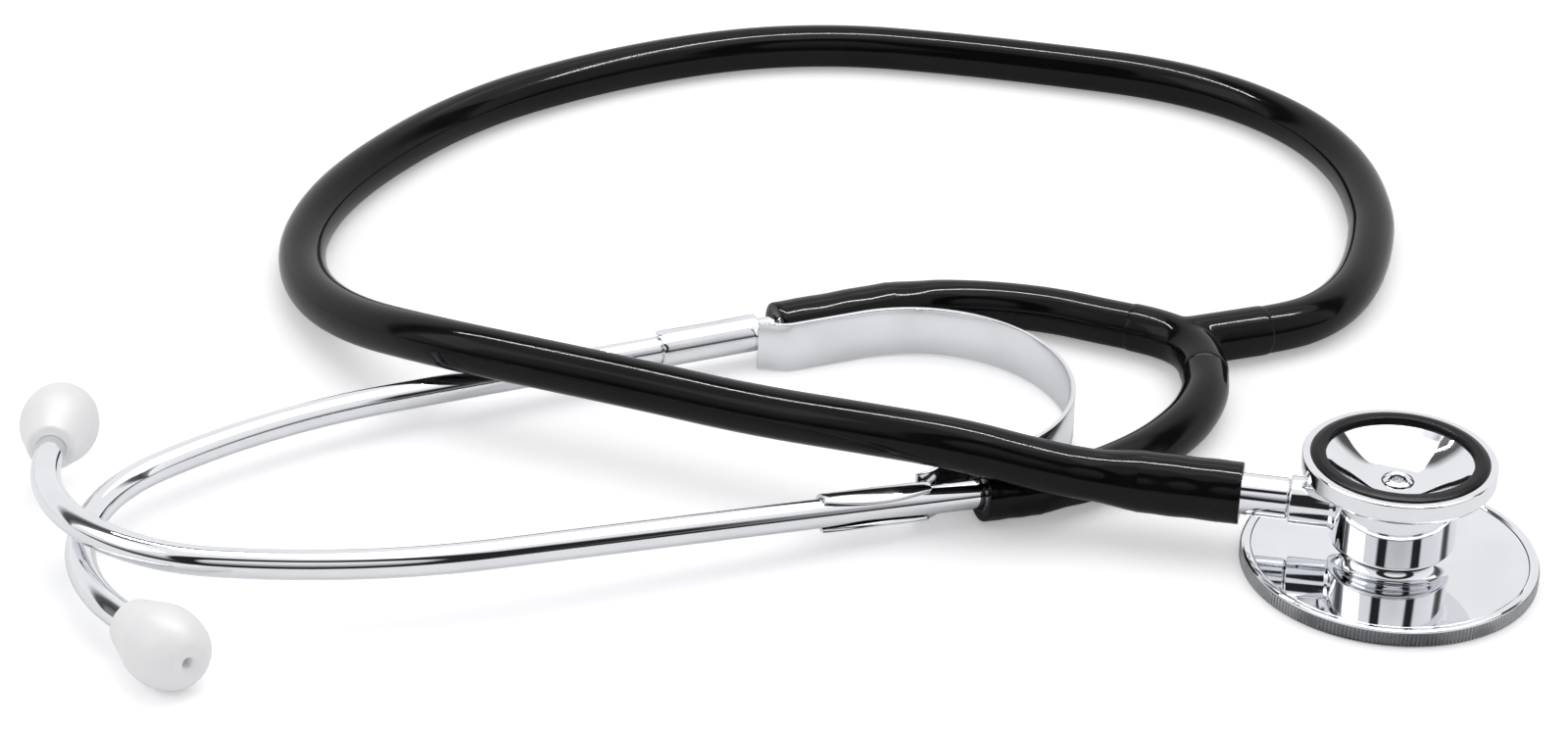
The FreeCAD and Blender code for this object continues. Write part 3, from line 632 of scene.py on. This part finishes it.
class STETHOSCOPE_OT_tubing(bpy.types.Operator):
    """Long hose, Y piece and two branches, with their stretched ends"""
    bl_idname = "stethoscope.tubing"
    bl_label = "Tubing"

    def execute(self, context):
        finish = tubing_finish()
        hose = sizes().hose_radius
        branch = sizes().branch_radius
        grip = self.grip("hose_end_at_stem", start=24.4, end=41.0, inner=3.45, outer=5.05, bump=0.06)
        place(grip, stem_place())
        dress(grip, finish, "root", "black_tubing", "main_hose_grip")
        long_hose, path = hose_mesh("long_hose", LONG_HOSE, hose, stretched(0.185, 8.5))
        dress(long_hose, finish, "root", "black_tubing", "main_hose")
        fork = self.fork(hose, branch)
        dress(fork, finish, "root", "black_tubing", "y_junction")
        self.near_branch(finish, branch)
        self.branch_end("near", finish)
        self.far_branch(finish, branch)
        self.branch_end("far", finish)
        return {"FINISHED"}

    def near_branch(self, finish, radius):
        """The near branch's hose, given its finish and baked in place."""
        arm, path = hose_mesh("near_branch_hose", NEAR_BRANCH, radius, stretched(0.135, 6.0))
        arm.data.materials.clear()
        arm.data.materials.append(finish)
        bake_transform(arm)
        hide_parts("near_branch")

    def far_branch(self, finish, radius):
        """This branch is shorter than six diameters."""
        arm, _ = hose_mesh("far_branch_hose", FAR_BRANCH, radius, stretched(0.135, 8.0))
        dress(arm, finish, "root", "black_tubing", "far_branch")

    def branch_end(self, side, finish):
        ear = EAR_PLACES[side]
        end = self.grip(side + "_branch_end", start=-ear.mouth, end=10.3, inner=2.43, outer=4.68, bump=0.05)
        place(end, ear_place(side) @ Matrix.Rotation(math.pi, 4, "Z") @ LAY_ALONG_X)
        dress(end, finish, ear.body, "black_tubing", side + "_branch_grip")

    def grip(self, name, start, end, inner, outer, bump):
        """A hose's stretched end, from its cut mouth inwards, with bumps over what it grips."""
        steps, waves = 28, 2.2
        profile = [(inner, start + 3.0), (inner, start + 0.1), (inner + 0.15, start),
                   (outer - 0.28, start), (outer - 0.09, start + 0.07)]
        for step in range(steps + 1):
            along = start + 0.25 + (end - start - 0.25) * step / steps
            share = (along - start) / (end - start)
            wave = bump * math.cos(share * waves * 2 * math.pi) * math.sin(share * math.pi)
            profile.append((outer - wave, along))
        profile.append((inner, end))
        piece = turned(name, profile, segments=72)
        smooth(piece, 40)
        return piece

    def fork(self, hose, branch):
        """The moulded Y: both branches are one bent tube, and the long hose runs into its outside."""
        reach, corner, extra, inset = 13.0, 5.5, 0.2, 2.2
        far, near = [Vector((math.cos(math.radians(h)), math.sin(math.radians(h)), 0))
                     for h in (FAR_HEADING, NEAR_HEADING)]
        bend = [(JUNCTION + step) * MM for step in (far * reach, far * corner, near * corner, near * reach)]
        elbow, _ = hose_mesh("y_fork", bend, branch + extra * MM)
        only()
        bpy.ops.mesh.primitive_cylinder_add(
            vertices=64, radius=hose + extra * MM, depth=(reach + inset) * MM,
            location=(0, 0, (reach - inset) / 2 * MM), end_fill_type="NGON")
        stub = bpy.context.object
        bpy.ops.object.transform_apply(location=True, rotation=True, scale=True)
        turn = Matrix.Rotation(math.radians(HOSE_HEADING), 4, "Z") @ LAY_ALONG_X
        place(stub, Matrix.Translation(JUNCTION * MM) @ turn)
        only(elbow)
        stub.select_set(True)
        bpy.ops.object.join()
        piece = bpy.context.object
        piece.name = "y_fork"
        modifier(piece, "REMESH", mode="VOXEL", voxel_size=0.3 * MM)
        modifier(piece, "SMOOTH", factor=0.5, iterations=40)
        apply_modifiers(piece)
        smooth(piece, 80)
        return piece


# ---------------------------------------------------------------- chestpiece

class STETHOSCOPE_OT_chestpiece(bpy.types.Operator):
    """Plate, hub and bell, with their rings"""
    bl_idname = "stethoscope.chestpiece"
    bl_label = "Chestpiece"

    def execute(self, context):
        foot = rounded([
            (0.25, 2.1), (20.2, 2.1), (20.2, 1.12), (22.25, 1.12), (22.25, 2.9, 0.15),
            (8.3, 2.92, 2.5), (8.3, 5.75, 0.2), (10.1, 5.85, 0.35), (10.1, 14.6, 1.0),
            (11.2, 16.0, 1.6), (14.9, 17.15, 0.8), (15.5, 18.0, 0.7), (15.5, 20.7, 0.35),
            (14.2, 20.7, 0.1), (14.2, 19.95, 0.1), (12.0, 19.95)], steps=8)
        bowl = softened([(11.95, 19.9), (9.6, 18.3), (6.4, 16.75), (3.9, 16.35), (2.62, 16.32)])
        body = turned("chestpiece", foot + bowl + [(2.62, 15.0), (0.25, 15.0)],
                      segments=224, closed=False)
        self.pocket(body)
        smooth(body, 28)
        dress(body, plating(), "head", "chrome_head", "chest_body")
        self.knurled_ring()
        rim = turned("bell_rim", rounded([
            (12.0, 19.98), (14.18, 19.98), (14.18, 20.9, 0.4), (13.2, 21.2, 0.6), (11.75, 21.1, 0.45),
            (11.72, 20.0, 0.2), (12.0, 19.98)], steps=6)[:-1], segments=160)
        smooth(rim, 50)
        dress(rim, rim_finish(), "head", "black_rim", "bell_ring")
        port = turned("bell_insert", rounded([
            (1.2, 14.8), (2.55, 14.8), (2.55, 16.55, 0.25), (1.9, 16.9, 0.2), (1.25, 16.75, 0.15),
            (1.2, 14.8)], steps=4)[:-1], segments=64)
        smooth(port, 40)
        dress(port, plating(), "head", "chrome_head", "bell_port")
        refinish("diaphragm", film_finish())
        return {"FINISHED"}

    def pocket(self, body):
        """The faced seat that the stem enters."""
        seat, depth = 9.2, 8.0
        only()
        bpy.ops.mesh.primitive_cylinder_add(vertices=96, radius=4.5 * MM, depth=depth * MM,
                                            location=(0, 0, 0))
        cutter = bpy.context.object
        place(cutter, stem_place(seat + depth / 2))
        cut = modifier(body, "BOOLEAN", operation="DIFFERENCE", object=cutter)
        cut.solver = "EXACT"
        apply_modifiers(body)
        bpy.data.objects.remove(cutter, do_unlink=True)

    def knurled_ring(self):
        """The diaphragm's ring, with a fine serration on its side, whose band gets a darker plating as
        painted shade.
        """
        teeth, groove = 232, 0.6
        outer = sizes().ring_radius / MM
        ring = turned("diaphragm_retainer", rounded([
            (20.8, 0.0), (23.3, 0.0, 0.1), (23.72, 0.35), (23.95, 0.5), (23.95, 1.2), (23.95, 1.9),
            (23.95, 2.55), (23.72, 2.75), (23.75, 3.0, 0.1), (23.4, 3.2, 0.1), (22.75, 3.2, 0.15),
            (22.35, 2.95), (22.35, 1.1), (22.0, 0.7), (20.8, 0.7)], steps=3), segments=2 * teeth)
        edit(ring)
        bpy.ops.mesh.select_all(action="DESELECT")
        only(ring)
        for v in ring.data.vertices:
            flat = math.hypot(v.co.x, v.co.y) / MM
            column = round(math.atan2(v.co.y, v.co.x) / math.pi * teeth)
            v.select = flat > outer - 0.1 and column % 2 == 0
        edit(ring)
        scale = (outer - groove) / outer
        bpy.ops.transform.resize(value=(scale, scale, 1), center_override=(0, 0, 0))
        only(ring)
        smooth(ring, 24)
        dress(ring, plating(), "head", "chrome_head", "diaphragm_ring")
        ring.data.materials.append(knurl_painted_shade())
        # The serrated side band takes the darkened plating: painted shade of its grooves.
        side_inside, side_bottom, side_top = outer - 0.55, 0.4, 2.8
        for face in ring.data.polygons:
            flat = math.hypot(face.center.x, face.center.y) / MM
            if flat > side_inside and side_bottom < face.center.z / MM < side_top:
                face.material_index = 1


class STETHOSCOPE_OT_stem(bpy.types.Operator):
    """Stem and the collar that it turns in"""
    bl_idname = "stethoscope.stem"
    bl_label = "Stem"

    def execute(self, context):
        collar = turned("stem_collar", rounded([
            (3.0, 9.05), (4.25, 9.05), (4.25, 9.6, 0.2), (3.9, 10.2, 0.5), (3.9, 16.6, 0.25),
            (3.3, 16.75), (3.0, 16.75)], steps=4), segments=96)
        place(collar, stem_place())
        smooth(collar, 30)
        dress(collar, plating(), "head", "chrome_stem", "stem_bushing")
        stem = turned("stem_tube", rounded([
            (1.6, 16.85), (3.1, 16.85), (3.4, 17.1, 0.15), (3.4, 30.0), (1.6, 30.0)], steps=4),
            segments=96)
        place(stem, stem_place())
        smooth(stem, 30)
        dress(stem, plating(), "root", "chrome_stem", "stem")
        refinish("stem_seal", rim_finish())
        refinish("detent_ball", plating())
        refinish("detent_spring", spring_steel())
        return {"FINISHED"}


# ---------------------------------------------------------------- ear tubes

class STETHOSCOPE_OT_ear_tubes(bpy.types.Operator):
    """Two bent metal tubes"""
    bl_idname = "stethoscope.ear_tubes"
    bl_label = "Ear tubes"

    def execute(self, context):
        for side in EAR_PLACES:
            self.tube(side)
        return {"FINISHED"}

    def tube(self, side):
        """A ring drawn along the straight and round both bends."""
        ear = EAR_PLACES[side]
        only()
        bpy.ops.mesh.primitive_circle_add(
            vertices=48, radius=sizes().ear_radius, fill_type="NOTHING",
            location=(-EAR_INNER * MM, 0, 0), rotation=(0, math.radians(90), 0))
        bpy.ops.object.transform_apply(location=True, rotation=True, scale=True)
        tube = bpy.context.object
        tube.name = side + "_metal_tube"
        edit(tube)
        bpy.ops.mesh.select_all(action="SELECT")
        step = ((EAR_INNER + EAR_STRAIGHT) / EAR_STEPS * MM, 0, 0)
        for _ in range(EAR_STEPS):
            bpy.ops.mesh.extrude_region_move(TRANSFORM_OT_translate={"value": step})
        joint = Vector((EAR_STRAIGHT, 0, 0))
        heading = 0.0
        for radius, angle, steps in EAR_BENDS:
            across = Vector((-math.sin(heading), math.cos(heading), 0)) * ear.bend * radius
            centre = joint + across
            sweep = math.radians(angle)
            bpy.ops.mesh.spin(steps=steps, angle=-sweep, center=centre * MM, axis=(0, 0, ear.bend))
            heading += ear.bend * sweep
            joint = centre + Vector((math.sin(heading), -math.cos(heading), 0)) * ear.bend * radius
        ahead = Vector((math.cos(heading), math.sin(heading), 0))
        last = ahead * (EAR_END - 0.1) * MM
        bpy.ops.mesh.extrude_region_move(TRANSFORM_OT_translate={"value": last})
        bpy.ops.mesh.select_all(action="SELECT")
        bpy.ops.mesh.remove_doubles(threshold=0.001 * MM)
        bpy.ops.mesh.fill_holes(sides=0)
        bpy.ops.mesh.normals_make_consistent(inside=False)
        only(tube)
        place(tube, ear_place(side))
        smooth(tube, 40)
        dress(tube, plating(), ear.body, "chrome_ear_tube", side + "_ear_tube")
        self.tip(side, joint + ahead * EAR_END, ahead)

    def tip(self, side, end, ahead):
        """Soft tip with a rounded shoulder and a sound hole in its nose."""
        radius = sizes().tip_radius / MM
        skin = softened([
            (2.42, 0.0), (3.9, 0.0), (4.3, 1.0), (radius - 0.9, 4.0), (radius + 0.25, 7.2),
            (radius + 0.2, 10.4), (radius - 0.6, 13.4), (radius - 2.6, 15.6), (2.4, 15.6), (1.5, 15.3),
            (0.95, 14.8)])
        tip = turned(side + "_soft_tip", [(2.42, 3.0)] + skin + [(0.95, 9.0)], segments=96)
        axis = ahead.to_track_quat("Z", "Y").to_matrix().to_4x4()
        base = (end - ahead * TIP_SOCKET) * MM
        place(tip, ear_place(side) @ Matrix.Translation(base) @ axis)
        smooth(tip, 60)
        dress(tip, tip_finish(), side + "_tip", "white_ear_tip", side + "_ear_tip")


class STETHOSCOPE_OT_spring(bpy.types.Operator):
    """Bowed leaf spring with its ends rolled round the ear tubes"""
    bl_idname = "stethoscope.spring"
    bl_label = "Spring"

    def execute(self, context):
        radius = sizes().spring_radius / MM
        width = sizes().spring_width
        middle = Vector((0, 0, SPRING_BOTTOM * MM + width / 2))
        near = [(-13.2, -28.3), (-11.8, -28.2), (-10.2, -27.8), (-8.6, -27.0), (-6.8, -26.3),
                (-4.8, -26.0), (-2.4, -26.0), (0.0, -radius)]
        far = [(0.0, radius), (-6.0, 26.0), (-12.8, 26.0), (-14.2, 26.3), (-15.4, 27.1),
               (-16.6, 27.9), (-18.2, 28.3)]
        only()
        bpy.ops.mesh.primitive_plane_add(size=width, location=(0, 0, 0),
                                         rotation=(math.radians(90), 0, 0))
        bpy.ops.object.transform_apply(location=True, rotation=True, scale=True)
        strip = context.object
        strip.name = "spring_strip"
        edit(strip)
        bpy.ops.mesh.select_all(action="SELECT")
        start = Vector((near[0][0] * MM + width / 2, near[0][1] * MM, 0))
        bpy.ops.transform.translate(value=start + middle)
        bpy.ops.mesh.select_all(action="DESELECT")
        only(strip)
        limit = (near[0][0] + 1) * MM
        for v in strip.data.vertices:
            v.select = v.co.x > limit
        edit(strip)
        bpy.ops.mesh.delete(type="VERT")
        bpy.ops.mesh.select_all(action="SELECT")
        self.follow(near)
        bpy.ops.mesh.spin(steps=72, angle=-math.pi, center=middle, axis=(0, 0, 1))
        self.follow(far)
        bpy.ops.mesh.select_all(action="SELECT")
        bpy.ops.mesh.remove_doubles(threshold=0.001 * MM)
        only(strip)
        modifier(strip, "SOLIDIFY", thickness=SPRING_THICKNESS * MM, offset=0.0)
        modifier(strip, "BEVEL", width=0.16 * MM, segments=2, limit_method="ANGLE",
                 angle_limit=math.radians(50))
        apply_modifiers(strip)
        edit(strip)
        bpy.ops.mesh.select_all(action="SELECT")
        bpy.ops.mesh.normals_make_consistent(inside=False)
        only(strip)
        bow = Matrix.Translation(SPRING_CENTRE * MM) @ Matrix.Rotation(SPRING_YAW, 4, "Z")
        place(strip, bow)
        smooth(strip, 35)
        strip.data.materials.clear()
        strip.data.materials.append(spring_steel())
        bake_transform(strip)
        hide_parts("leaf_spring")
        for side in EAR_PLACES:
            self.sleeve(side)
        return {"FINISHED"}

    def follow(self, spots):
        for first, second in zip(spots, spots[1:]):
            step = ((second[0] - first[0]) * MM, (second[1] - first[1]) * MM, 0)
            bpy.ops.mesh.extrude_region_move(TRANSFORM_OT_translate={"value": step})

    def sleeve(self, side):
        """The strip's end, rolled round the tube, with two bowed flaps over an open slot."""
        ear = EAR_PLACES[side]
        around, rings = 48, 20
        slot_angle = math.radians(3)
        wrap, waist = 118, 24
        flare_from, flare_over, flare_by = 2.3, 0.8, 0.05
        only()
        bpy.ops.mesh.primitive_cylinder_add(
            vertices=around, radius=SLEEVE_RADIUS * MM, depth=SLEEVE_LENGTH * MM,
            end_fill_type="NOTHING", location=(0, 0, SLEEVE_LENGTH / 2 * MM))
        clip = bpy.context.object
        clip.name = side + "_rolled_sleeve"
        bpy.ops.object.transform_apply(location=True, rotation=True, scale=True)
        edit(clip)
        bpy.ops.mesh.select_all(action="SELECT")
        for k in range(1, rings):
            bpy.ops.mesh.bisect(plane_co=(0, 0, SLEEVE_LENGTH * k / rings * MM), plane_no=(0, 0, 1))
            bpy.ops.mesh.select_all(action="SELECT")
        bpy.ops.mesh.select_all(action="DESELECT")
        only(clip)
        for v in clip.data.vertices:
            v.select = abs(math.atan2(v.co.y, -v.co.x)) < slot_angle
        edit(clip)
        bpy.ops.mesh.delete(type="VERT")
        only(clip)
        for v in clip.data.vertices:
            share = v.co.z / MM / SLEEVE_LENGTH
            angle = math.atan2(v.co.y, v.co.x)
            half = math.radians(wrap + waist * math.sin(math.pi * share))
            reach = half / math.radians(180 - 360 / around)
            flare = 1 + flare_by * ease((abs(angle) - flare_from) / flare_over)
            radius = SLEEVE_RADIUS * MM * flare
            v.co.x = radius * math.cos(angle * reach)
            v.co.y = radius * math.sin(angle * reach)
        modifier(clip, "SOLIDIFY", thickness=SLEEVE_WALL * MM, offset=0.0)
        modifier(clip, "BEVEL", width=0.14 * MM, segments=2, limit_method="ANGLE",
                 angle_limit=math.radians(50))
        apply_modifiers(clip)
        edit(clip)
        bpy.ops.mesh.select_all(action="SELECT")
        bpy.ops.mesh.normals_make_consistent(inside=False)
        only(clip)
        lie = LAY_ALONG_X @ Matrix.Rotation(math.radians(90.0 * ear.bend), 4, "Z")
        place(clip, ear_place(side) @ Matrix.Translation((ear.sleeve * MM, 0, 0)) @ lie)
        smooth(clip, 35)
        dress(clip, spring_steel(), ear.body, "spring_steel", side + "_spring_sleeve")


# ---------------------------------------------------------------- panel and running

STEPS = ("stage", "tubing", "chestpiece", "stem", "ear_tubes", "spring")


class STETHOSCOPE_PT_panel(bpy.types.Panel):
    """Sizes, colours and building steps"""
    bl_idname = "STETHOSCOPE_PT_panel"
    bl_label = "Stethoscope"
    bl_space_type = "VIEW_3D"
    bl_region_type = "UI"
    bl_category = "Stethoscope"

    def draw(self, context):
        layout = self.layout
        for group in (context.scene.stethoscope_sizes, context.scene.stethoscope_colours):
            box = layout.box()
            for name in group.__annotations__:
                box.prop(group, name)
        for step in STEPS:
            layout.operator("stethoscope." + step)


CLASSES = (StethoscopeSizes, StethoscopeColours, STETHOSCOPE_OT_stage, STETHOSCOPE_OT_tubing,
           STETHOSCOPE_OT_chestpiece, STETHOSCOPE_OT_stem, STETHOSCOPE_OT_ear_tubes,
           STETHOSCOPE_OT_spring, STETHOSCOPE_PT_panel)


def register():
    for cls in CLASSES:
        bpy.utils.register_class(cls)
    bpy.types.Scene.stethoscope_sizes = PointerProperty(type=StethoscopeSizes)
    bpy.types.Scene.stethoscope_colours = PointerProperty(type=StethoscopeColours)


def unregister():
    del bpy.types.Scene.stethoscope_colours
    del bpy.types.Scene.stethoscope_sizes
    for cls in reversed(CLASSES):
        bpy.utils.unregister_class(cls)


def plain(box):
    return [[float(v) for v in corner] for corner in box]


def main():
    register()
    for step in STEPS:
        getattr(bpy.ops.stethoscope, step)()
    only()


if __name__ == "__main__":
    main()
